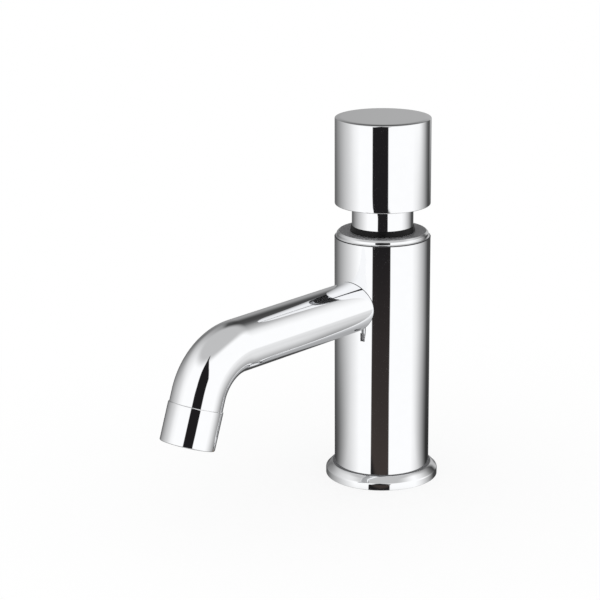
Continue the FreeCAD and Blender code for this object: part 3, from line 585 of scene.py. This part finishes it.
def threaded_sleeve(low, high, lead):
    """A sleeve threaded outside: an upright zigzag turned once round while it climbs one pitch."""
    shape = bmesh.new()
    root = tail_radius - thread_depth
    zigzag = ((0, tail_radius), (thread_land, tail_radius), (0.5, root), (0.5 + thread_land, root))
    corners = []
    for turn in range(-1, math.ceil((high - low) / thread_pitch) + 1):
        for share, radius in zigzag:
            corners.append(shape.verts.new((radius, 0, low + (turn + share) * thread_pitch)))
    sides = [shape.edges.new(pair) for pair in zip(corners, corners[1:])]
    climb = (0, 0, thread_pitch / thread_steps)
    bmesh.ops.spin(
        shape,
        geom=corners + sides,
        cent=(0, 0, 0),
        axis=(0, 0, 1),
        dvec=climb,
        angle=math.tau,
        steps=thread_steps,
        use_merge=False,
    )
    bmesh.ops.remove_doubles(shape, verts=shape.verts, dist=thread_merge_distance)
    rims = []
    for height, way in ((low, -1), (high, 1)):
        cut = bmesh.ops.bisect_plane(
            shape,
            geom=shape.verts[:] + shape.edges[:] + shape.faces[:],
            dist=cut_tolerance,
            plane_co=(0, 0, height),
            plane_no=(0, 0, way),
            clear_outer=True,
        )["geom_cut"]
        rims.append([item for item in cut if isinstance(item, bmesh.types.BMEdge)])
    for point in shape.verts:
        most = tail_radius - max(lead - (point.co.z - low), 0)
        set_radius(point, min(most, math.hypot(point.co.x, point.co.y)))
    inner_rims = []
    for rim in rims:
        points, edges = new_ring(bmesh.ops.extrude_edge_only(shape, edges=rim)["geom"])
        for point in points:
            set_radius(point, root - thread_sleeve)
        inner_rims += edges
    bmesh.ops.bridge_loops(shape, edges=inner_rims)
    bmesh.ops.recalc_face_normals(shape, faces=shape.faces)
    return shape


def joined(*shapes):
    """One mesh made of several."""
    whole = bmesh.new()
    for shape in shapes:
        mesh = bpy.data.meshes.new("share")
        shape.to_mesh(mesh)
        shape.free()
        whole.from_mesh(mesh)
        bpy.data.meshes.remove(mesh)
    return whole


tail_core = tail_radius - thread_depth
tail_shape = joined(
    turned_mesh(
        [
            (strainer_seat, tail_bottom, 0),
            (tail_core, tail_bottom, 0),
            (tail_core, tail_thread_top, 0),
            (tail_radius, tail_thread_top, 0),
            (tail_radius, tail_top, 0),
            (tail_bore, tail_top, 0),
            (tail_bore, strainer_top, 0),
            (strainer_seat, strainer_top, 0),
        ],
        thread_steps,
    ),
    threaded_sleeve(tail_bottom, relief_bottom, tail_lead),
    threaded_sleeve(relief_top, tail_thread_top, 0),
)
finished(tail_shape, "inlet_tail_threaded", brass, "brass", "inlet_tail")

# Tail seal and strainer: a flat rubber ring squeezed between the tail's end and a ledge in the body, and a
# drilled steel dish held by its rim in the tail's lower end.
redress("tail_seal", rubber)
redress("inlet_strainer", steel)

# Deck washers: a soft rubber washer and a stamped steel one under it, both with rounded rims. They spread
# the back nut's pull under the deck.
washer_bore = 0.0107775
washer_steps = 144
rubber_round = 0.00045
steel_round = 0.0003


def washer(node, name, material, slot, soft):
    """A flat ring in the place of a node, with soft edges."""
    low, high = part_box(node)
    shape = turned_mesh(
        [
            (washer_bore, low.z, soft),
            (high.x, low.z, soft),
            (high.x, high.z, soft),
            (washer_bore, high.z, soft),
        ],
        washer_steps,
    )
    finished(shape, name, material, slot, node)


washer("deck_washer_rubber", "deck_washer_rubber_soft", rubber, "rubber", rubber_round)
washer("deck_washer_steel", "deck_washer_steel_stamped", steel, "steel", steel_round)

# Back nut: a six-sided brass nut on the tail, bevelled at its corners. Tightened from below, it clamps the
# tap to the deck.
redress("back_nut", brass)

# Bonnet: the chrome neck between body and button, turned in brass, with a fine bevel at its top. It screws
# into the body, holds the cartridge down and guides the button.
neck_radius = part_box("bonnet")[1].x
bonnet_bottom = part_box("bonnet")[0].z
bonnet_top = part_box("bonnet")[1].z
bonnet_thread = 0.013
bonnet_bore = 0.0095
bonnet_mouth = 0.004
neck_bevel = 0.0008
bush_seat_radius = 0.00605
bush_seat_top = bonnet_top - 0.003
bush_seat_bottom = 0.11195
bonnet_shape = turned_mesh(
    [
        (bonnet_bore, bonnet_bottom, 0),
        (bonnet_thread, bonnet_bottom, 0),
        (bonnet_thread, body_top, 0),
        (neck_radius, body_top, fine_edge / 2),
        (neck_radius, bonnet_top, neck_bevel),
        (bonnet_mouth, bonnet_top, fine_edge),
        (bonnet_mouth, bush_seat_top, 0),
        (bush_seat_radius, bush_seat_top, 0),
        (bush_seat_radius, bush_seat_bottom, 0),
        (bonnet_bore, bush_seat_bottom, 0),
    ]
)
finished(bonnet_shape, "bonnet_chrome", chrome, "chrome", "bonnet")

# Neck ring: the black rubber lip round the neck's foot, which keeps splashes out of the bonnet's thread. It
# is smoother than the other rubber, and its upper edge lies against the neck.
neck_ring_bore = neck_radius + 0.00005
neck_ring_foot = neck_radius + 0.0008
neck_ring_lip = neck_radius + 0.0003
neck_ring_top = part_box("neck_ring")[1].z
neck_ring_shade = (0.004, 0.004, 0.004, 1)
neck_ring_light = (0.008, 0.008, 0.009, 1)
neck_ring_sheen = 0.15
smooth_rubber = new_finish(
    "smooth_rubber",
    neck_ring_shade,
    neck_ring_light,
    metallic=0,
    grain=900,
    gloss=(0.3, 0.4),
    relief=0.000002,
)
smooth_rubber_shader = smooth_rubber.node_tree.nodes["Principled BSDF"]
smooth_rubber_shader.inputs["Specular IOR Level"].default_value = neck_ring_sheen
neck_ring_shape = turned_mesh(
    [
        (neck_ring_bore, body_top, 0),
        (neck_ring_foot, body_top, fine_edge / 2),
        (neck_ring_lip, neck_ring_top, fine_edge / 2),
        (neck_ring_bore, neck_ring_top, 0),
    ]
)
finished(neck_ring_shape, "neck_ring_smooth", smooth_rubber, "rubber", "neck_ring")

# Small parts in the bonnet: its sealing ring, the white plastic bush that the spindle runs in, the spindle's
# own ring, and the steel clip that holds the bush.
bush_shade = (0.74, 0.73, 0.70, 1)
bush_light = (0.80, 0.79, 0.76, 1)
bush_plastic = new_finish(
    "white_plastic",
    bush_shade,
    bush_light,
    metallic=0,
    grain=900,
    gloss=(0.4, 0.5),
    relief=0.000003,
)
redress("bonnet_o_ring", rubber)
redress("guide_bush", bush_plastic)
redress("stem_o_ring", rubber)
redress("retaining_ring", steel)

# Cartridge: the moulded housing with its two rings, its hard brass seat, and the plug that closes the timing
# cup below. The steel screw in the plug sets how slowly the cup fills.
redress("cartridge_housing", bush_plastic)
redress("cartridge_plug", bush_plastic)
redress("valve_seat", brass)
redress("cartridge_o_ring_lower", rubber)
redress("cartridge_o_ring_upper", rubber)
redress("timing_screw", steel)

# Spindle and piston: a ground steel rod from the button down, and on its lower end the moulded piston with
# the lip seal, the valve's soft washer and the brass retainer.
redress("spindle", steel)
redress("piston", bush_plastic)
redress("lip_seal", rubber)
redress("valve_washer", rubber)
redress("valve_retainer", brass)

# Return spring: the steel coil between the cartridge's plug and the piston, which lifts the button again. It
# is pressed together by the button's travel.
spring_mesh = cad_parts["return_spring"].data.copy()
spring_mesh.materials.clear()
spring_mesh.materials.append(steel)
spring = bpy.data.objects.new("return_spring_steel", spring_mesh)
bpy.context.scene.collection.objects.link(spring)
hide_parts("return_spring")
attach(spring, "tap")
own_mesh(spring)

# Push button: a deep chrome cap, hollow below, on a brass hub. Its top is flat and slopes down a little near
# its small rounded edge. A black plastic ring closes the cap below and runs on the neck.
cap_radius = 0.0214
cap_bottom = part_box("button_cap")[0].z
cap_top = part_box("button_cap")[1].z
cap_bore = 0.0185
cap_inner_radius = 0.0175
cap_ledge = 0.1496
cap_ceiling = 0.16205
cap_shoulder_radius = cap_radius - 0.0022
cap_shoulder_drop = 0.0004
cap_shoulder_round = 0.0008
cap_edge = 0.0004
guide_edge = 0.0003
black_plastic_shade = (0.020, 0.020, 0.021, 1)
black_plastic_light = (0.030, 0.030, 0.031, 1)
cap_shape = turned_mesh(
    [
        (0, cap_top, 0),
        (cap_shoulder_radius, cap_top, cap_shoulder_round),
        (cap_radius, cap_top - cap_shoulder_drop, cap_edge),
        (cap_radius, cap_bottom, cap_edge),
        (cap_bore, cap_bottom, fine_edge),
        (cap_bore, cap_ledge, 0),
        (cap_inner_radius, cap_ledge, 0),
        (cap_inner_radius, cap_ceiling, 0),
        (0, cap_ceiling, 0),
    ]
)
finished(cap_shape, "button_cap_chrome", chrome, "chrome", "button_cap", body="push_button")

black_plastic = new_finish(
    "black_plastic",
    black_plastic_shade,
    black_plastic_light,
    metallic=0,
    grain=1200,
    gloss=(0.4, 0.5),
    relief=0.000003,
)
guide_low, guide_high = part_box("guide_ring")
guide_shape = turned_mesh(
    [
        (neck_ring_bore, guide_low.z, guide_edge),
        (guide_high.x, guide_low.z, guide_edge),
        (guide_high.x, guide_high.z, 0),
        (neck_ring_bore, guide_high.z, guide_edge),
    ]
)
finished(guide_shape, "guide_ring_black", black_plastic, "black_plastic", "guide_ring", body="push_button")
redress("button_hub", brass)
redress("lock_nut", steel)

# Camera: where the photograph was taken from, in front of the tap and a little above it, with the spout to
# the picture's left. The lens is long, and the camera leans over by a third of a degree.
camera_place = Vector((0.6209, -0.7003, 0.3463))
camera_aim = Vector((-0.02673, -0.02568, 0.0822))
camera_roll = math.radians(-0.33)
camera_sensor = 36
camera_lens = 129.34
camera_near = 0.05
camera_far = 20
camera_data = bpy.data.cameras.new("camera")
camera_data.sensor_width = camera_sensor
camera_data.lens = camera_lens
camera_data.clip_start = camera_near
camera_data.clip_end = camera_far
camera = bpy.data.objects.new("camera", camera_data)
camera.location = camera_place
camera_view = (camera_aim - camera_place).to_track_quat("-Z", "Y") @ Quaternion((0, 0, 1), camera_roll)
camera.rotation_euler = camera_view.to_euler()
bpy.context.scene.collection.objects.link(camera)
bpy.context.scene.camera = camera

# Light tent: a white tent round the tap, which the polished metal mirrors. It is bright in front and at the
# sides, falls off to grey and black behind, and is grey overhead. Each ring of light gives the brightness at
# turns from the camera, in degrees, and passes into the next ring between two height angles.
tent_radius = 3
tent_middle = Vector((0, -0.03, 0.08))
tent_columns = 96
tent_rows = 48
camera_turn = math.radians(48.44)
tent_white = 1.05
floor_ring = (
    (-180, 0.12),
    (-150, 0.20),
    (-120, 0.40),
    (0, 0.42),
    (50, 0.60),
    (70, 0.90),
    (85, 0.93),
    (102, 0.72),
    (114, 0.50),
    (126, 0.37),
    (150, 0.16),
    (180, 0.12),
)
floor_ring_passes = (-28, -21)
low_ring = (
    (-180, 0.30),
    (-168, 0.13),
    (-150, 0.13),
    (-140, 0.18),
    (-132, 0.24),
    (-109, 0.45),
    (-87, 0.67),
    (-57, 1),
    (76, 1),
    (90, 0.84),
    (102, 0.64),
    (114, 0.44),
    (126, 0.22),
    (137, 0.06),
    (161, 0.06),
    (170, 0.45),
    (180, 0.50),
)
low_ring_passes = (-13, -8)
middle_ring = (
    (-180, 0.40),
    (-165, 0.24),
    (-152, 0.16),
    (-143, 0.25),
    (-126, 0.36),
    (-114, 0.46),
    (-102, 0.57),
    (-90, 0.67),
    (-72, 0.91),
    (-57, 1),
    (96, 1),
    (104, 0.85),
    (116, 0.50),
    (128, 0.15),
    (142, 0.05),
    (152, 0.50),
    (180, 0.40),
)
middle_ring_passes = (13, 38)
high_ring = (
    (-180, 0.05),
    (-170, 0.08),
    (-163, 0.30),
    (-150, 0.40),
    (-126, 0.58),
    (-102, 0.76),
    (-80, 0.90),
    (-60, 1),
    (96, 1),
    (108, 0.80),
    (120, 0.52),
    (138, 0.25),
    (150, 0.08),
    (180, 0.05),
)
high_ring_passes = (45, 62)
overhead_light = 0.55


def empty_material(name):
    """A material with no nodes yet, and its lists of nodes and links."""
    material = bpy.data.materials.new(name)
    material.use_nodes = True
    material.node_tree.nodes.clear()
    return material, material.node_tree.nodes, material.node_tree.links


def for_mirrors_only(thing):
    """Hide a stage object from the camera and from matt surfaces, and let it cast no shadow."""
    thing.visible_camera = False
    thing.visible_diffuse = False
    thing.visible_shadow = False


tent_shape = bmesh.new()
bmesh.ops.create_uvsphere(tent_shape, u_segments=tent_columns, v_segments=tent_rows, radius=tent_radius)
bmesh.ops.reverse_faces(tent_shape, faces=tent_shape.faces)
tent = new_object(tent_shape, "light_tent")
tent.location = tent_middle
tent_cloth, tent_nodes, tent_links = empty_material("tent_cloth")


def tent_sum(kind, *values):
    """One step of arithmetic on the tent's pattern."""
    step = tent_nodes.new("ShaderNodeMath")
    step.operation = kind
    for socket, value in zip(step.inputs, values):
        if isinstance(value, (int, float)):
            socket.default_value = value
        else:
            tent_links.new(value, socket)
    return step.outputs[0]


def ring_of_light(stops):
    """The brightness all round at one height, from pairs of turn and brightness."""
    ramp = tent_nodes.new("ShaderNodeValToRGB")
    points = ramp.color_ramp.elements
    points.remove(points[1])
    for number, (turn, light) in enumerate(stops):
        share = (turn + 180) / 360
        point = points[0] if number == 0 else points.new(share)
        point.position = share
        point.color = (light * tent_white, light * tent_white, light * tent_white, 1)
    tent_links.new(tent_share, ramp.inputs["Fac"])
    return ramp.outputs["Color"]


def passing(below, above, start, end):
    """One brightness below a height angle, another above a second angle, and a smooth change between."""
    change = tent_nodes.new("ShaderNodeMapRange")
    change.interpolation_type = "SMOOTHSTEP"
    change.inputs["From Min"].default_value = start
    change.inputs["From Max"].default_value = end
    tent_links.new(tent_rise, change.inputs["Value"])
    above_share = change.outputs["Result"]
    below_share = tent_sum("SUBTRACT", 1, above_share)
    from_above = tent_sum("MULTIPLY", above, above_share)
    from_below = tent_sum("MULTIPLY", below, below_share)
    return tent_sum("ADD", from_above, from_below)


tent_place = tent_nodes.new("ShaderNodeTexCoord")
tent_turn = tent_nodes.new("ShaderNodeMapping")
tent_turn.inputs["Rotation"].default_value = (0, 0, camera_turn)
tent_split = tent_nodes.new("ShaderNodeSeparateXYZ")
tent_links.new(tent_place.outputs["Object"], tent_turn.inputs["Vector"])
tent_links.new(tent_turn.outputs["Vector"], tent_split.inputs["Vector"])
tent_round = tent_sum("DEGREES", tent_sum("ARCTAN2", tent_split.outputs["Y"], tent_split.outputs["X"]))
tent_share = tent_sum("MULTIPLY_ADD", tent_round, 1 / 360, 0.5)
tent_height = tent_sum("DIVIDE", tent_split.outputs["Z"], tent_radius)
tent_rise = tent_sum("DEGREES", tent_sum("ARCSINE", tent_height))
tent_light = passing(ring_of_light(floor_ring), ring_of_light(low_ring), *floor_ring_passes)
tent_light = passing(tent_light, ring_of_light(middle_ring), *low_ring_passes)
tent_light = passing(tent_light, ring_of_light(high_ring), *middle_ring_passes)
tent_light = passing(tent_light, overhead_light, *high_ring_passes)
tent_glow = tent_nodes.new("ShaderNodeEmission")
tent_out = tent_nodes.new("ShaderNodeOutputMaterial")
tent_links.new(tent_light, tent_glow.inputs["Strength"])
tent_links.new(tent_glow.outputs["Emission"], tent_out.inputs["Surface"])
tent_cloth.cycles.emission_sampling = "NONE"
tent.data.materials.append(tent_cloth)
for_mirrors_only(tent)

# Opening: the dark gap in the tent's front that the camera looks through, with soft side edges. Each row
# gives a height over the deck and the gap's left and right edge there, counted to the picture's right.
opening_distance = 0.70
opening_rows = (
    (-0.35, -0.36, 0.21),
    (-0.19, -0.325, 0.215),
    (-0.11, -0.305, 0.24),
    (-0.072, -0.30, 0.24),
    (-0.070, -0.23, 0.24),
    (-0.049, -0.22, 0.24),
    (-0.047, -0.30, 0.24),
    (-0.038, -0.315, 0.16),
    (0.035, -0.315, 0.155),
    (0.07, -0.25, 0.20),
    (0.33, -0.185, 0.27),
    (0.62, -0.17, 0.12),
    (0.92, -0.11, 0),
    (1.28, -0.06, -0.035),
)
opening_foot = opening_rows[0][0]
opening_head = opening_rows[-1][0]
opening_soft = 0.012
opening_black = (0.014, 0.013, 0.014, 1)
opening_brown = (0.052, 0.042, 0.038, 1)
opening_tints = ((-0.262, opening_black), (-0.250, opening_brown), (-0.06, opening_black))
towards_camera = Vector((math.cos(camera_turn), -math.sin(camera_turn), 0))
to_the_right = Vector((math.sin(camera_turn), math.cos(camera_turn), 0))

opening_shape = bmesh.new()
opening_cover = opening_shape.verts.layers.float.new("cover")
row_edges = []
for number, (height, left, right) in enumerate(opening_rows):
    places = (left - opening_soft, left + opening_soft, right - opening_soft, right + opening_soft)
    if number == 0:
        row = [opening_shape.verts.new() for place in places]
        row_edges = [opening_shape.edges.new(pair) for pair in zip(row, row[1:])]
    else:
        row, row_edges = new_ring(bmesh.ops.extrude_edge_only(opening_shape, edges=row_edges)["geom"])
        row.sort(key=lambda point: point.co.dot(to_the_right))
    for point, place, cover in zip(row, places, (0, 1, 1, 0)):
        point.co = towards_camera * opening_distance + to_the_right * place + Vector((0, 0, height))
        point[opening_cover] = cover
cloth = new_object(opening_shape, "opening")

cloth_paint, opening_nodes, opening_links = empty_material("opening_cloth")
opening_place = opening_nodes.new("ShaderNodeTexCoord")
opening_split = opening_nodes.new("ShaderNodeSeparateXYZ")
opening_rise = opening_nodes.new("ShaderNodeMapRange")
opening_rise.inputs["From Min"].default_value = opening_foot
opening_rise.inputs["From Max"].default_value = opening_head
opening_ramp = opening_nodes.new("ShaderNodeValToRGB")
opening_stops = opening_ramp.color_ramp.elements
opening_stops.remove(opening_stops[1])
for number, (height, tint) in enumerate(opening_tints):
    share = (height - opening_foot) / (opening_head - opening_foot)
    stop = opening_stops[0] if number == 0 else opening_stops.new(share)
    stop.position = share
    stop.color = tint
opening_part = opening_nodes.new("ShaderNodeAttribute")
opening_part.attribute_name = "cover"
opening_clear = opening_nodes.new("ShaderNodeBsdfTransparent")
opening_glow = opening_nodes.new("ShaderNodeEmission")
opening_mix = opening_nodes.new("ShaderNodeMixShader")
opening_out = opening_nodes.new("ShaderNodeOutputMaterial")
opening_links.new(opening_place.outputs["Object"], opening_split.inputs["Vector"])
opening_links.new(opening_split.outputs["Z"], opening_rise.inputs["Value"])
opening_links.new(opening_rise.outputs["Result"], opening_ramp.inputs["Fac"])
opening_links.new(opening_ramp.outputs["Color"], opening_glow.inputs["Color"])
opening_links.new(opening_part.outputs["Fac"], opening_mix.inputs["Fac"])
opening_links.new(opening_clear.outputs["BSDF"], opening_mix.inputs[1])
opening_links.new(opening_glow.outputs["Emission"], opening_mix.inputs[2])
opening_links.new(opening_mix.outputs["Shader"], opening_out.inputs["Surface"])
cloth_paint.cycles.emission_sampling = "NONE"
cloth.data.materials.append(cloth_paint)
for_mirrors_only(cloth)

# Floor and world: a plain white floor that takes the tap's soft shadow and fades into a white background.
# The mirror-like metal sees through it to the tent, only darker near the tap and behind it.
floor_radius = 2.8
floor_steps = 96
floor_tint = (0.95, 0.95, 0.95, 1)
floor_white_near = 0.75
floor_fade_start = 0.04
floor_fade_end = 0.25
floor_shade = 0.35
floor_shade_end = 0.25
facing_undarkened = 0.25
facing_darkened = -0.45
floor_shape = bmesh.new()
bmesh.ops.create_circle(floor_shape, cap_ends=True, segments=floor_steps, radius=floor_radius)
floor = new_object(floor_shape, "floor")

floor_paint, floor_nodes, floor_links = empty_material("floor_paint")
floor_place = floor_nodes.new("ShaderNodeTexCoord")
floor_length = floor_nodes.new("ShaderNodeVectorMath")
floor_length.operation = "LENGTH"
floor_fade = floor_nodes.new("ShaderNodeMapRange")
floor_fade.interpolation_type = "SMOOTHSTEP"
floor_fade.inputs["From Min"].default_value = floor_fade_start
floor_fade.inputs["From Max"].default_value = floor_fade_end
floor_fade.inputs["To Min"].default_value = floor_white_near
floor_turn = floor_nodes.new("ShaderNodeVectorMath")
floor_turn.operation = "DOT_PRODUCT"
floor_turn.inputs[1].default_value = towards_camera
floor_facing = floor_nodes.new("ShaderNodeMath")
floor_facing.operation = "DIVIDE"
floor_behind = floor_nodes.new("ShaderNodeMapRange")
floor_behind.inputs["From Min"].default_value = facing_undarkened
floor_behind.inputs["From Max"].default_value = facing_darkened
floor_near = floor_nodes.new("ShaderNodeMapRange")
floor_near.inputs["From Max"].default_value = floor_shade_end
floor_near.inputs["To Min"].default_value = 1 - floor_shade
floor_near.inputs["To Max"].default_value = 0
floor_dark = floor_nodes.new("ShaderNodeMath")
floor_dark.operation = "MULTIPLY"
floor_mirrored = floor_nodes.new("ShaderNodeMath")
floor_mirrored.operation = "SUBTRACT"
floor_mirrored.inputs[0].default_value = 1
floor_glass = floor_nodes.new("ShaderNodeBsdfTransparent")
floor_path = floor_nodes.new("ShaderNodeLightPath")
floor_choice = floor_nodes.new("ShaderNodeMixShader")
floor_matt = floor_nodes.new("ShaderNodeBsdfDiffuse")
floor_matt.inputs["Color"].default_value = floor_tint
floor_white = floor_nodes.new("ShaderNodeEmission")
floor_mix = floor_nodes.new("ShaderNodeMixShader")
floor_out = floor_nodes.new("ShaderNodeOutputMaterial")
floor_links.new(floor_place.outputs["Object"], floor_length.inputs[0])
floor_links.new(floor_length.outputs["Value"], floor_fade.inputs["Value"])
floor_links.new(floor_fade.outputs["Result"], floor_mix.inputs["Fac"])
floor_links.new(floor_matt.outputs["BSDF"], floor_mix.inputs[1])
floor_links.new(floor_white.outputs["Emission"], floor_mix.inputs[2])
floor_links.new(floor_place.outputs["Object"], floor_turn.inputs[0])
floor_links.new(floor_turn.outputs["Value"], floor_facing.inputs[0])
floor_links.new(floor_length.outputs["Value"], floor_facing.inputs[1])
floor_links.new(floor_facing.outputs["Value"], floor_behind.inputs["Value"])
floor_links.new(floor_length.outputs["Value"], floor_near.inputs["Value"])
floor_links.new(floor_behind.outputs["Result"], floor_dark.inputs[0])
floor_links.new(floor_near.outputs["Result"], floor_dark.inputs[1])
floor_links.new(floor_dark.outputs["Value"], floor_mirrored.inputs[1])
floor_links.new(floor_mirrored.outputs["Value"], floor_glass.inputs["Color"])
floor_links.new(floor_path.outputs["Is Glossy Ray"], floor_choice.inputs["Fac"])
floor_links.new(floor_mix.outputs["Shader"], floor_choice.inputs[1])
floor_links.new(floor_glass.outputs["BSDF"], floor_choice.inputs[2])
floor_links.new(floor_choice.outputs["Shader"], floor_out.inputs["Surface"])
floor.data.materials.append(floor_paint)

world = bpy.data.worlds.new("white_room")
world.use_nodes = True
sky = world.node_tree.nodes["Background"]
sky.inputs["Color"].default_value = (1, 1, 1, 1)
sky.inputs["Strength"].default_value = 1
bpy.context.scene.world = world
bpy.context.scene.view_settings.view_transform = "Standard"
